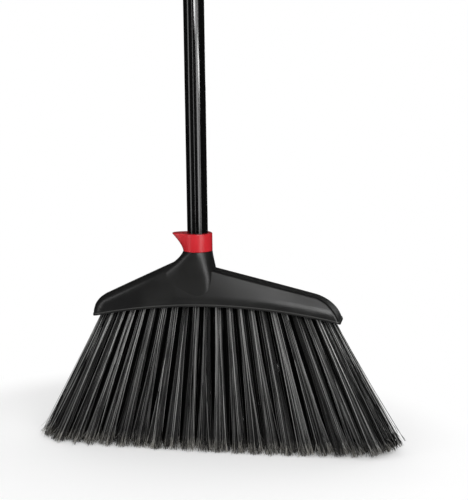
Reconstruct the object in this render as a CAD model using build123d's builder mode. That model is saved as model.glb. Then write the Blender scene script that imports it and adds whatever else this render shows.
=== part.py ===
from build123d import *

import math
import os

# Angle broom: a moulded head with a fanned field of bristle tufts, a red lock collar,
# and a black tube handle in two lengths that meet inside a coupling sleeve.
# Millimetres. +X runs along the head, -Y is its front, +Z is up the handle.
# The origin is on the floor under the middle of the head, where the bristle tips end.

# Whole broom
overall_height = 1420.0
handle_x = -16.5

# Handle tubes
tube_od = 19.0
tube_wall = 0.7
slide_clearance = 0.2
press_clearance = 0.05

# Bristle field, in rows from front to back
bristle_length = 137.0
row_names = ["front_tufts", "mid_front_tufts", "mid_back_tufts", "back_tufts"]
tufts_in_row = [20, 21, 22, 21]
tuft_pitch = 10.1
field_middle_x = -1.0
row_pitch = 7.2
row_bow = 0.35
row_spread = 1.75
tuft_sides = 8
tuft_root_radius = 2.8
tuft_tip_radius = 5.2
fan_angle_at_end = 26.6
hole_depth = 7.0
hole_clearance = 0.1

# Staple plates that hold the folded tufts
anchor_thickness = 0.4
anchor_height = 1.8
anchor_from_floor = 1.2
anchor_clearance = 0.05

# Moulded cap: a bowed mouth, faces that lean in to a narrower rim, and two sloping shoulders
cap_width = 234.0
cap_depth = 35.0
cap_end_depth = 26.0
cap_wall = 2.6
mouth_radius = 500.0
left_slope = 25.5
right_slope = 13.3
left_shoulder_rise = 48.7
right_shoulder_rise = 35.7
left_end_radius = 20.0
right_end_radius = 34.0
left_edge_radius = 10.0
right_edge_radius = 2.5
left_rim_share = 0.84
right_rim_share = 0.54
crest_rim_share = 0.6
crest_run = 36.0
skirt_share = 0.15
face_bend_radius = 16.0
form_stations = 5
form_margin = 1.5
lip_height = 2.0
lip_reach = 0.6

# Neck, which runs down both faces as a ridge that fades out on its left
neck_od = 27.0
neck_rise = 48.8
neck_foot_rise = 8.0
neck_left_sweep = 68.0
neck_left_bend = 1.5
neck_left_square = 11.0
neck_left_slant = 0.8
neck_right_swell = 3.0
neck_right_bend = 1.5
neck_right_square = 3.0
ridge_growth = 0.6
ridge_foot_sink = 0.7
section_points = 28
section_count = 7

# Socket inside the neck, with a split spigot under the collar
socket_floor_rise = 15.0
socket_floor_thickness = 2.0
socket_wall = 2.6
spigot_wall = 1.8
spigot_length = 14.0
spigot_slots = 4
spigot_slot_width = 1.8
spigot_slot_length = 9.0
groove_depth = 0.6
groove_height = 1.8
groove_rise = 1.6

# Stiffening ribs inside the cap
rib_thickness = 1.8
cross_rib_count = 6

# Tuft block that carries the bristles
block_recess = 1.0
block_thickness = 11.0
block_clearance = 0.25
lug_count = 5
lug_length = 9.0
lug_height = 2.4
lug_reach = 0.9

# Lock collar with its thumb beak
collar_height = 16.2
collar_gap = 0.5
collar_top_plate = 2.2
beak_reach = 24.8
beak_spread = 26.0
collar_edge_radius = 0.7
collar_clearance = 0.3
collar_section_count = 5

# Plug in the foot of the handle
plug_flange = 2.5
plug_length = 24.0
plug_bore_radius = 5.5
seat_gap = 0.2

# Coupling between the two tubes
coupling_middle_z = 925.0
sleeve_length = 106.0
sleeve_od = 26.4
sleeve_top_od = 21.4
sleeve_shoulder = 11.0
sleeve_edge_radius = 1.2
tube_end_gap = 0.6
insert_length = 52.0
thread_radius = 6.3
thread_length = 36.0
thread_lead_in = 2.0

# End grip with its hang slot
grip_length = 150.0
grip_od = 22.8
grip_foot_od = 20.6
grip_foot_length = 22.0
grip_tongue_length = 36.0
grip_tongue_depth = 14.0
grip_tongue_run = 10.0
hang_slot_width = 7.0
hang_slot_length = 17.0
hang_slot_from_top = 7.5

# Values that follow from the sizes above
tube_radius = tube_od / 2
tube_inner_radius = tube_radius - tube_wall
neck_radius = neck_od / 2
row_count = len(row_names)
mouth_z = bristle_length
mouth_centre_z = mouth_z - mouth_radius
neck_foot_z = mouth_z + neck_foot_rise
neck_top_z = mouth_z + neck_rise
cap_bow = (cap_depth - cap_end_depth) / 2
bow_radius = ((cap_width / 2) ** 2 + cap_bow**2) / (2 * cap_bow)
form_top_z = neck_top_z + neck_radius
rim_rates = math.tan(math.radians(left_slope)) + math.tan(math.radians(right_slope))
crest_x = handle_x + (right_shoulder_rise - left_shoulder_rise) / rim_rates
block_face_radius = mouth_radius + block_recess
block_top_radius = block_face_radius + block_thickness
socket_floor_z = mouth_z + socket_floor_rise
socket_radius = tube_radius + slide_clearance
spigot_radius = socket_radius + spigot_wall
spigot_top_z = neck_top_z + spigot_length
collar_foot_z = neck_top_z + collar_gap
collar_bore_radius = spigot_radius + slide_clearance
handle_axis = Axis((handle_x, 0, 0), (0, 0, 1))
handle_foot_z = socket_floor_z + seat_gap
lower_tube_foot_z = handle_foot_z + plug_flange
lower_tube_top_z = coupling_middle_z - tube_end_gap / 2
upper_tube_foot_z = coupling_middle_z + tube_end_gap / 2
sleeve_foot_z = coupling_middle_z - sleeve_length / 2
sleeve_top_z = coupling_middle_z + sleeve_length / 2
grip_foot_z = overall_height - grip_length
upper_tube_top_z = overall_height - grip_tongue_length
insert_radius = tube_inner_radius - press_clearance
field_half_width = (max(tufts_in_row) - 1) * tuft_pitch / 2
outer_row_y = (row_count - 1) * row_pitch / 2

os.makedirs("parts", exist_ok=True)


def rim_z(x, side, inset):
    """Height of one shoulder's straight rim at a place along the cap, set in from the outside by a wall."""
    slope = math.radians(left_slope if side < 0 else right_slope)
    rise = left_shoulder_rise if side < 0 else right_shoulder_rise
    return mouth_z + rise - side * (x - handle_x) * math.tan(slope) - inset


def side_depth(x, inset):
    """Half depth of the bowed cap at a place along its mouth, set in from the outside by a wall."""
    return cap_depth / 2 - bow_radius + math.sqrt((bow_radius - inset) ** 2 - x**2)


def face_places(x, side, inset):
    """Foot, middle and end of the bend in the cap's back face at a place along it, then the face's top."""
    lip_z = mouth_centre_z + math.sqrt(mouth_radius**2 - x**2)
    foot_z = lip_z + skirt_share * (rim_z(x, side, 0) - lip_z)
    from_crest = min(1, abs(x - crest_x) / crest_run)
    end_share = left_rim_share if side < 0 else right_rim_share
    inward = side_depth(x, 0) * (1 - crest_rim_share - (end_share - crest_rim_share) * from_crest)
    height = rim_z(x, side, 0) - foot_z
    across = 2 * face_bend_radius - inward
    lean = 2 * math.atan((height - math.sqrt(height**2 - inward * across)) / across)
    reach = face_bend_radius - inset
    bend_y = side_depth(x, 0) - face_bend_radius
    places = []
    for turn in (0, lean / 2, lean):
        places.append((bend_y + reach * math.cos(turn), foot_z + reach * math.sin(turn)))
    end_y, end_z = places[-1]
    top_z = rim_z(x, side, inset) + form_margin
    places.append((end_y - (top_z - end_z) * math.tan(lean), top_z))
    return places


def half_form(side, inset):
    """One half of the cap's form, with its rim rounded, set in by a wall and running down to the floor."""
    end_x = side * (cap_width / 2 - inset)
    past_end = end_x + side * form_margin
    edge_radius = (left_edge_radius if side < 0 else right_edge_radius) - inset
    with BuildPart() as form:
        for station in range(form_stations):
            x = crest_x + (past_end - crest_x) * station / (form_stations - 1)
            back = face_places(x, side, inset)
            front = [(-y, z) for y, z in back]
            with BuildSketch(Plane.YZ.offset(x)):
                with BuildLine():
                    ThreePointArc(*back[:3])
                    ThreePointArc(*front[:3])
                    Polyline(front[0], (front[0][0], 0), (back[0][0], 0), back[0])
                    Polyline(front[2], front[3], back[3], back[2])
                make_face()
        loft()
        with BuildSketch(Plane.XZ) as outline:
            with BuildLine():
                Polyline(
                    (crest_x, 0),
                    (crest_x, rim_z(crest_x, side, inset)),
                    (end_x, rim_z(end_x, side, inset)),
                    (end_x, 0),
                    close=True,
                )
            make_face()
            shoulder = outline.vertices().filter_by(lambda corner: corner.Y > 1).sort_by(Axis.Y)[0]
            fillet(shoulder, (left_end_radius if side < 0 else right_end_radius) - inset)
        extrude(amount=cap_depth, both=True, mode=Mode.INTERSECT)
        if edge_radius > 0:
            top_faces = form.faces().filter_by(lambda face: abs(face.normal_at().Y) < 0.01)
            rim = top_faces.edges().filter_by(lambda edge: abs(edge.center().Y) > 1 and edge.center().Z > 1)
            rim = rim.filter_by(lambda edge: abs(edge.center().X - crest_x) > 1)
            fillet(rim, edge_radius)
    return form.part


def cap_form(inset):
    """The cap's form, from its two halves."""
    with BuildPart() as form:
        add(half_form(-1, inset))
        add(half_form(1, inset))
    return form.part


def neck_section(drop):
    """Points round the neck, part of the way down: a circle under the collar, a ridge at its foot."""
    left = neck_radius + neck_left_sweep * drop**neck_left_bend
    right = neck_radius + neck_right_swell * math.sin(math.pi * drop**neck_right_bend)
    foot = side_depth(handle_x, ridge_foot_sink)
    front = neck_radius + (foot - neck_radius) * drop**ridge_growth
    points = []
    for step in range(section_points):
        turn = 2 * math.pi * step / section_points
        across, along = math.cos(turn), math.sin(turn)
        reach = right if across > 0 else left
        left_square = neck_left_square * drop * (1 - drop) ** 3 - neck_left_slant * drop**2
        squareness = neck_right_square * drop if across > 0 else left_square
        power = 2 / (2 + squareness)
        x = handle_x + math.copysign(reach * abs(across) ** power, across)
        y = math.copysign(front * abs(along) ** power, along)
        points.append((x, y))
    return points


def collar_section(rise):
    """Points round the collar, part of the way up: a circle that grows a beak to its left."""
    reach = (beak_reach - neck_radius) * rise**1.4
    points = []
    for step in range(section_points):
        turn = 2 * math.pi * step / section_points
        off_beak = (math.degrees(turn) - 180) / beak_spread
        radius = neck_radius + reach * math.exp(-(off_beak**2))
        points.append((handle_x + radius * math.cos(turn), radius * math.sin(turn)))
    return points


def tuft_planes(rows, out):
    """Planes square to the tufts of some rows, a distance out along each tuft from the block's face."""
    planes = []
    for row in rows:
        count = tufts_in_row[row]
        row_y = row * row_pitch - outer_row_y
        for place in range(count):
            from_middle = (place - (count - 1) / 2) * tuft_pitch
            share = from_middle / field_half_width
            x = field_middle_x + from_middle
            y = row_y * (1 - row_bow * share**2)
            z = mouth_centre_z + math.sqrt(block_face_radius**2 - x**2)
            fan = math.radians(fan_angle_at_end) * share
            way = Vector(math.tan(fan), y * (row_spread - 1) / bristle_length, -1).normalized()
            planes.append(Plane(Vector(x, y, z) + way * out, x_dir=(1, 0, 0), z_dir=way))
    return planes


outer_form = cap_form(0)
inner_form = cap_form(cap_wall)
block_form = cap_form(cap_wall + block_clearance)

# Raised lip round the mouth of the cap
with BuildPart() as mouth_lip:
    add(cap_form(-lip_reach))
    with BuildSketch(Plane.XZ):
        with Locations((0, mouth_centre_z)):
            Circle(mouth_radius + lip_height)
            Circle(mouth_radius, mode=Mode.SUBTRACT)
    extrude(amount=cap_depth, both=True, mode=Mode.INTERSECT)

# Ribs inside the cap, which also stop the tuft block
with BuildPart() as ribs:
    with Locations((0, 0, form_top_z / 2)):
        Box(cap_width, rib_thickness, form_top_z)
        with GridLocations(cap_width / cross_rib_count, 0, cross_rib_count, 1):
            Box(rib_thickness, cap_depth, form_top_z)
    with BuildSketch(Plane.XZ):
        with Locations((0, mouth_centre_z)):
            Circle(block_top_radius + seat_gap)
    extrude(amount=cap_depth, both=True, mode=Mode.SUBTRACT)

# Hollow of the cap: its inner form, less the ribs and the socket's wall
with BuildPart() as hollow:
    add(inner_form)
    add(ribs.part, mode=Mode.SUBTRACT)
    with Locations((handle_x, 0, socket_floor_z - socket_floor_thickness)):
        Cylinder(
            socket_radius + socket_wall,
            form_top_z,
            align=(Align.CENTER, Align.CENTER, Align.MIN),
            mode=Mode.SUBTRACT,
        )

# Places of the snap lugs along both long sides of the tuft block
lug_radius = block_face_radius + block_thickness / 2
lug_places = []
for lug in range(lug_count):
    lug_x = (lug - (lug_count - 1) / 2) * cap_width / (lug_count + 1)
    lug_z = mouth_centre_z + math.sqrt(lug_radius**2 - lug_x**2)
    lug_y = side_depth(lug_x, cap_wall + block_clearance)
    lug_places += [(lug_x, -lug_y, lug_z), (lug_x, lug_y, lug_z)]

# Moulded cap, with its neck, socket and split spigot
with BuildPart() as head_shell:
    add(outer_form)
    for section in range(section_count):
        drop = section / (section_count - 1)
        with BuildSketch(Plane.XY.offset(neck_top_z - drop * (neck_top_z - neck_foot_z))):
            with BuildLine():
                Spline(*neck_section(drop), periodic=True)
            make_face()
    loft()
    add(mouth_lip.part)
    with BuildSketch(Plane.XZ):
        with Locations((0, mouth_centre_z)):
            Circle(mouth_radius)
    extrude(amount=cap_depth, both=True, mode=Mode.SUBTRACT)
    add(hollow.part, mode=Mode.SUBTRACT)
    with Locations((handle_x, 0, neck_top_z)):
        Cylinder(spigot_radius, spigot_length, align=(Align.CENTER, Align.CENTER, Align.MIN))
    with Locations((handle_x, 0, socket_floor_z)):
        Cylinder(
            socket_radius,
            form_top_z,
            align=(Align.CENTER, Align.CENTER, Align.MIN),
            mode=Mode.SUBTRACT,
        )
    with BuildSketch(Plane.XZ):
        with Locations((handle_x + spigot_radius - groove_depth / 2, neck_top_z + groove_rise)):
            Rectangle(groove_depth, groove_height, align=(Align.CENTER, Align.MIN))
    revolve(axis=handle_axis, mode=Mode.SUBTRACT)
    with Locations((handle_x, 0, spigot_top_z)):
        with PolarLocations(0, spigot_slots // 2, angular_range=180):
            Box(neck_od, spigot_slot_width, 2 * spigot_slot_length, mode=Mode.SUBTRACT)
    with Locations(*lug_places):
        Box(
            lug_length + 2 * block_clearance,
            2 * (lug_reach + block_clearance),
            lug_height + 2 * block_clearance,
            mode=Mode.SUBTRACT,
        )
head_shell.part.label = "head_shell"
export_step(head_shell.part, "parts/head_shell.step")

# Tuft block, drilled along the fan of the bristles
with BuildPart() as tuft_block:
    add(block_form)
    with BuildSketch(Plane.XZ):
        with Locations((0, mouth_centre_z)):
            Circle(block_top_radius)
            Circle(block_face_radius, mode=Mode.SUBTRACT)
    extrude(amount=cap_depth, both=True, mode=Mode.INTERSECT)
    with Locations(*lug_places):
        Box(lug_length, 2 * lug_reach, lug_height)
    with Locations(*tuft_planes(range(row_count), -hole_depth)):
        Cylinder(
            tuft_root_radius + hole_clearance,
            2 * hole_depth,
            align=(Align.CENTER, Align.CENTER, Align.MIN),
            mode=Mode.SUBTRACT,
        )
tuft_block.part.label = "tuft_block"
export_step(tuft_block.part, "parts/tuft_block.step")

# Bristle tufts, one group for each row, all trimmed level at the floor
tuft_growth = (tuft_tip_radius - tuft_root_radius) / bristle_length
tuft_taper = math.degrees(math.atan(tuft_growth * math.cos(math.pi / tuft_sides)))
tuft_run = hole_depth + bristle_length / math.cos(math.radians(fan_angle_at_end))
anchor_out = anchor_from_floor + anchor_height / 2 - hole_depth
for row, row_name in enumerate(row_names):
    with BuildPart() as tufts:
        with BuildSketch(*tuft_planes([row], -hole_depth)):
            RegularPolygon(tuft_root_radius - tuft_growth * hole_depth, tuft_sides, rotation=180 / tuft_sides)
        extrude(amount=tuft_run, taper=-tuft_taper)
        with Locations(*tuft_planes([row], anchor_out)):
            Box(
                2 * tuft_root_radius,
                anchor_thickness + 2 * anchor_clearance,
                anchor_height + 2 * anchor_clearance,
                mode=Mode.SUBTRACT,
            )
        split(bisect_by=Plane.XY, keep=Keep.TOP)
    tufts.part.label = row_name
    export_step(tufts.part, f"parts/{row_name}.step")

# Staple plates, one across each tuft at the bottom of its hole
with BuildPart() as tuft_anchors:
    with Locations(*tuft_planes(range(row_count), anchor_out)):
        Box(2 * tuft_root_radius, anchor_thickness, anchor_height)
tuft_anchors.part.label = "tuft_anchors"
export_step(tuft_anchors.part, "parts/tuft_anchors.step")

# Lock collar, which snaps over the spigot and turns on it
with BuildPart() as lock_collar:
    for section in range(collar_section_count):
        rise = section / (collar_section_count - 1)
        with BuildSketch(Plane.XY.offset(collar_foot_z + rise * collar_height)):
            with BuildLine():
                Spline(*collar_section(rise), periodic=True)
            make_face()
    loft()
    fillet(lock_collar.edges().group_by(Axis.Z)[-1], collar_edge_radius)
    with Locations((handle_x, 0, collar_foot_z)):
        Cylinder(
            collar_bore_radius,
            collar_height - collar_top_plate,
            align=(Align.CENTER, Align.CENTER, Align.MIN),
            mode=Mode.SUBTRACT,
        )
        Cylinder(
            tube_radius + collar_clearance,
            collar_height,
            align=(Align.CENTER, Align.CENTER, Align.MIN),
            mode=Mode.SUBTRACT,
        )
    with BuildSketch(Plane.XZ):
        with Locations((handle_x + spigot_radius, neck_top_z + groove_rise + slide_clearance)):
            Rectangle(
                2 * (groove_depth - slide_clearance),
                groove_height - 2 * slide_clearance,
                align=(Align.CENTER, Align.MIN),
            )
    revolve(axis=handle_axis)
lock_collar.part.label = "lock_collar"
export_step(lock_collar.part, "parts/lock_collar.step")

# Plug in the foot of the handle
with BuildPart() as handle_plug:
    with Locations((handle_x, 0, handle_foot_z)):
        Cylinder(tube_radius, plug_flange, align=(Align.CENTER, Align.CENTER, Align.MIN))
        Cylinder(insert_radius, plug_length, align=(Align.CENTER, Align.CENTER, Align.MIN))
    chamfer(handle_plug.edges().group_by(Axis.Z)[0], plug_flange / 2)
    with Locations((handle_x, 0, handle_foot_z + plug_flange)):
        Cylinder(
            plug_bore_radius,
            plug_length,
            align=(Align.CENTER, Align.CENTER, Align.MIN),
            mode=Mode.SUBTRACT,
        )
handle_plug.part.label = "handle_plug"
export_step(handle_plug.part, "parts/handle_plug.step")

# Lower tube, from the plug to the middle of the coupling
with BuildPart() as lower_tube:
    with BuildSketch(Plane.XY.offset(lower_tube_foot_z)):
        with Locations((handle_x, 0)):
            Circle(tube_radius)
            Circle(tube_inner_radius, mode=Mode.SUBTRACT)
    extrude(amount=lower_tube_top_z - lower_tube_foot_z)
lower_tube.part.label = "lower_tube"
export_step(lower_tube.part, "parts/lower_tube.step")

# Upper tube, from the middle of the coupling into the grip
with BuildPart() as upper_tube:
    with BuildSketch(Plane.XY.offset(upper_tube_foot_z)):
        with Locations((handle_x, 0)):
            Circle(tube_radius)
            Circle(tube_inner_radius, mode=Mode.SUBTRACT)
    extrude(amount=upper_tube_top_z - upper_tube_foot_z)
upper_tube.part.label = "upper_tube"
export_step(upper_tube.part, "parts/upper_tube.step")

# Socket insert in the top of the lower tube
with BuildPart() as lower_insert:
    with Locations((handle_x, 0, lower_tube_top_z)):
        Cylinder(insert_radius, insert_length, align=(Align.CENTER, Align.CENTER, Align.MAX))
        Cylinder(
            thread_radius + slide_clearance,
            thread_length + thread_lead_in,
            align=(Align.CENTER, Align.CENTER, Align.MAX),
            mode=Mode.SUBTRACT,
        )
lower_insert.part.label = "lower_insert"
export_step(lower_insert.part, "parts/lower_insert.step")

# Screw insert in the foot of the upper tube
with BuildPart() as upper_insert:
    with Locations((handle_x, 0, upper_tube_foot_z)):
        Cylinder(insert_radius, insert_length, align=(Align.CENTER, Align.CENTER, Align.MIN))
        Cylinder(thread_radius, thread_length, align=(Align.CENTER, Align.CENTER, Align.MAX))
    chamfer(upper_insert.edges().group_by(Axis.Z)[0], thread_lead_in / 2)
upper_insert.part.label = "upper_insert"
export_step(upper_insert.part, "parts/upper_insert.step")

# Coupling sleeve round both tube ends, with a shoulder that tapers on to the upper tube
with BuildPart() as coupling_sleeve:
    with BuildSketch(Plane.XZ) as sleeve_half:
        with BuildLine():
            Polyline(
                (handle_x + tube_radius + press_clearance, sleeve_foot_z),
                (handle_x + sleeve_od / 2, sleeve_foot_z),
                (handle_x + sleeve_od / 2, sleeve_top_z - sleeve_shoulder),
                (handle_x + sleeve_top_od / 2, sleeve_top_z),
                (handle_x + tube_radius + slide_clearance, sleeve_top_z),
                (handle_x + tube_radius + slide_clearance, coupling_middle_z),
                (handle_x + tube_radius + press_clearance, coupling_middle_z),
                close=True,
            )
        make_face()
        outside = sleeve_half.vertices().group_by(Axis.X)[-1].sort_by(Axis.Y)
        fillet(outside[0], sleeve_edge_radius)
        outside = sleeve_half.vertices().group_by(Axis.X)[-1].sort_by(Axis.Y)
        fillet(outside[-1], sleeve_shoulder)
    revolve(axis=handle_axis)
coupling_sleeve.part.label = "coupling_sleeve"
export_step(coupling_sleeve.part, "parts/coupling_sleeve.step")

# End grip: a tapered foot, a round barrel and a flat tongue with the hang slot
with BuildPart() as end_grip:
    with BuildSketch(Plane.XZ) as grip_half:
        with BuildLine():
            Polyline(
                (handle_x, grip_foot_z),
                (handle_x + grip_foot_od / 2, grip_foot_z),
                (handle_x + grip_od / 2, grip_foot_z + grip_foot_length),
                (handle_x + grip_od / 2, overall_height - grip_od / 2),
            )
            CenterArc((handle_x, overall_height - grip_od / 2), grip_od / 2, 0, 90)
            Line((handle_x, overall_height), (handle_x, grip_foot_z))
        make_face()
    revolve(axis=handle_axis)
    with BuildSketch(Plane.YZ) as tongue_side:
        with BuildLine():
            Polyline(
                (grip_tongue_depth / 2, overall_height),
                (grip_tongue_depth / 2, upper_tube_top_z + grip_tongue_run),
                (grip_od / 2, upper_tube_top_z + seat_gap),
                (grip_od / 2, overall_height),
                close=True,
            )
        make_face()
        mirror(about=Plane.YZ)
    extrude(amount=cap_width, both=True, mode=Mode.SUBTRACT)
    with BuildSketch(Plane.XZ):
        with Locations((handle_x, overall_height - hang_slot_from_top - hang_slot_length / 2)):
            SlotOverall(hang_slot_length, hang_slot_width, rotation=90)
    extrude(amount=grip_od, both=True, mode=Mode.SUBTRACT)
    with Locations((handle_x, 0, grip_foot_z)):
        Cylinder(
            tube_radius + press_clearance,
            upper_tube_top_z - grip_foot_z,
            align=(Align.CENTER, Align.CENTER, Align.MIN),
            mode=Mode.SUBTRACT,
        )
end_grip.part.label = "end_grip"
export_step(end_grip.part, "parts/end_grip.step")
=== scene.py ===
import logging
import math
from collections.abc import Sequence
from dataclasses import dataclass, fields
from enum import Enum
from typing import ClassVar

import bpy
import numpy as np
from mathutils import Matrix, Vector


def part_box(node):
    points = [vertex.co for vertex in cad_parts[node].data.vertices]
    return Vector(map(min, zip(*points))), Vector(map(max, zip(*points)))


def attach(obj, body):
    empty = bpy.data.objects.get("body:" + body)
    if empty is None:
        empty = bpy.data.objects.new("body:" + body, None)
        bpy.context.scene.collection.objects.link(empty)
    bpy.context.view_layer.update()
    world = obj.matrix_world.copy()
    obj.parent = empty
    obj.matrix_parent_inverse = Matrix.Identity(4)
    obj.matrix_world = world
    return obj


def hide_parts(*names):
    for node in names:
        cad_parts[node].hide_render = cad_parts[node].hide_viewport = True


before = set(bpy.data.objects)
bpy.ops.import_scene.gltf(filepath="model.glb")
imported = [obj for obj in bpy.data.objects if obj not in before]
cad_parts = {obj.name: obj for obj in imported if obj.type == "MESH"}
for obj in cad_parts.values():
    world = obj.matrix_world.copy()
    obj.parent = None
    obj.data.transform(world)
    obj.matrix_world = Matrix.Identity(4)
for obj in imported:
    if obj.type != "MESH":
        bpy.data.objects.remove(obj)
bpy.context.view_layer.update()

# Angle broom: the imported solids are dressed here, every bristle tuft is drawn as its filaments, and the
# screw of the handle gets its thread.
# Metres, in the frame of the solids: +X along the head, -Y its front, +Z up the handle.

LOG = logging.getLogger("broom")
TUBES = ("lower_tube", "upper_tube")
# Place of the handle's axis along X.
HANDLE_X = sum(corner.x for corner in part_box("lower_tube")) / 2
# Height of the centre of the arch that the cap's mouth and the face of the tuft block follow.
MOUTH_CENTRE = -0.363

Socket = bpy.types.NodeSocket
Colour = tuple[float, float, float]
Triple = tuple[float, float, float]
Pair = tuple[float, float]


class Body(Enum):
    """Rigid bodies of the broom that a new piece rides on."""

    HEAD = "head"
    UPPER_HANDLE = "upper_handle"


class Slot(Enum):
    """Names of material slots for the finishes of new pieces."""

    BRISTLE = "bristle"
    FITTING = "fitting_plastic"


class NodeGraph:
    """A node tree being put together."""

    def __init__(self, tree: bpy.types.NodeTree) -> None:
        """Take up a node tree.

        Args:
            tree: The tree of a material or of the world.
        """
        self.tree = tree

    def node(self, kind: str, **values: object) -> bpy.types.Node:
        """Add a node.

        Args:
            kind: Blender's identifier of the node.
            **values: Values of its properties, or of its input sockets by name with _ for a space.

        Returns:
            The new node.
        """
        made = self.tree.nodes.new(kind)
        for name, value in values.items():
            if hasattr(made, name):
                setattr(made, name, value)
            else:
                made.inputs[name.replace("_", " ")].default_value = value
        return made

    def link(self, source: Socket, target: Socket) -> None:
        """Join an output socket to an input socket."""
        self.tree.links.new(source, target)

    def calculate(self, operation: str, *terms: Socket | float) -> Socket:
        """Work out a value from one or two terms.

        Args:
            operation: Blender's name of the operation.
            *terms: Sockets or plain values.

        Returns:
            The value socket.
        """
        made = self.node("ShaderNodeMath", operation=operation)
        for place, term in enumerate(terms):
            if isinstance(term, Socket):
                self.link(term, made.inputs[place])
            else:
                made.inputs[place].default_value = term
        return made.outputs[0]

    def ramp(self, source: Socket, span: Pair, values: Pair = (0.0, 1.0)) -> Socket:
        """Ease from one value to another over a span of the source.

        Args:
            source: The value that is read.
            span: Where the change starts and ends.
            values: The values before and after it.

        Returns:
            The value socket.
        """
        made = self.node("ShaderNodeMapRange", interpolation_type="SMOOTHSTEP")
        for name, value in zip(("From Min", "From Max", "To Min", "To Max"), (*span, *values)):
            made.inputs[name].default_value = value
        self.link(source, made.inputs["Value"])
        return made.outputs["Result"]

    def axes(self, where: Socket) -> tuple[Socket, ...]:
        """Take a vector apart.

        Args:
            where: The vector socket.

        Returns:
            The sockets of X, Y and Z.
        """
        made = self.node("ShaderNodeSeparateXYZ")
        self.link(where, made.inputs[0])
        return tuple(made.outputs)

    def any_ray(self, rays: bpy.types.Node, *kinds: str) -> Socket:
        """Whether a ray is of one of some kinds.

        Args:
            rays: The Light Path node.
            *kinds: Kinds of ray.

        Returns:
            The value socket, 1 or 0.
        """
        found = rays.outputs[f"Is {kinds[0]} Ray"]
        for kind in kinds[1:]:
            found = self.calculate("MAXIMUM", found, rays.outputs[f"Is {kind} Ray"])
        return found


class Recipe(NodeGraph):
    """A material being put together from nodes round one main shader.

    Attributes:
        noise_middle: Values between which most of a noise lies.
    """

    noise_middle: ClassVar[Pair] = (0.3, 0.7)

    def __init__(self, name: str) -> None:
        """Start a material.

        Args:
            name: Name of the material.
        """
        self.material = bpy.data.materials.new(name)
        self.material.use_nodes = True
        super().__init__(self.material.node_tree)
        self.shader = self.tree.nodes["Principled BSDF"]

    def set(self, **values: object) -> None:
        """Set the main shader's own sockets, named with _ for a space."""
        for name, value in values.items():
            self.shader.inputs[name.replace("_", " ")].default_value = value

    def feed(self, name: str, source: Socket) -> None:
        """Link a value to the main shader's socket of a name."""
        self.link(source, self.shader.inputs[name])

    def place(self, stretch: Triple = (1.0, 1.0, 1.0)) -> Socket:
        """Object coordinates, stretched along each axis.

        Args:
            stretch: Scale along X, Y and Z.

        Returns:
            The vector socket.
        """
        coordinates = self.node("ShaderNodeTexCoord")
        mapping = self.node("ShaderNodeMapping", Scale=stretch)
        self.link(coordinates.outputs["Object"], mapping.inputs["Vector"])
        return mapping.outputs["Vector"]

    def noise(self, where: Socket, scale: float, detail: float) -> Socket:
        """A noise pattern.

        Args:
            where: Coordinates to read.
            scale: Cells for each unit of the coordinates.
            detail: Octaves of finer noise.

        Returns:
            The factor socket.
        """
        made = self.node("ShaderNodeTexNoise", Scale=scale, Detail=detail)
        self.link(where, made.inputs["Vector"])
        return made.outputs["Fac"]

    def between(self, source: Socket, low: float = 0.0, high: float = 1.0) -> Socket:
        """Spread the middle of a noise over a range of values.

        Args:
            source: The noise.
            low: Value where the noise is low.
            high: Value where the noise is high.

        Returns:
            The value socket.
        """
        return self.ramp(source, self.noise_middle, (low, high))

    def blend(self, share: Socket, first: Socket | Colour, second: Socket | Colour) -> Socket:
        """Mix two colours.

        Args:
            share: Share of the second colour.
            first: First colour.
            second: Second colour.

        Returns:
            The colour socket.
        """
        made = self.node("ShaderNodeMix", data_type="RGBA")
        factor, first_input, second_input = (made.inputs[place] for place in (0, 6, 7))
        self.link(share, factor)
        for colour, target in ((first, first_input), (second, second_input)):
            if isinstance(colour, Socket):
                self.link(colour, target)
            else:
                target.default_value = (*colour, 1.0)
        return made.outputs[2]

    def bump(self, height: Socket, depth: float) -> None:
        """Raise the surface by a height pattern.

        Args:
            height: The pattern.
            depth: Height of the pattern in metres.
        """
        made = self.node("ShaderNodeBump", Strength=1.0, Distance=depth)
        self.link(height, made.inputs["Height"])
        self.feed("Normal", made.outputs["Normal"])


@dataclass(frozen=True)
class Finish:
    """A finish that becomes a material.

    Attributes:
        name: Name of the material.
    """

    name: str

    def build(self) -> bpy.types.Material:
        """Make the material.

        Returns:
            The finished material.
        """
        recipe = Recipe(self.name)
        self.mix(recipe)
        return recipe.material

    def mix(self, recipe: Recipe) -> None:
        """Put the finish together; each kind of finish has its own way."""
        raise NotImplementedError


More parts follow.
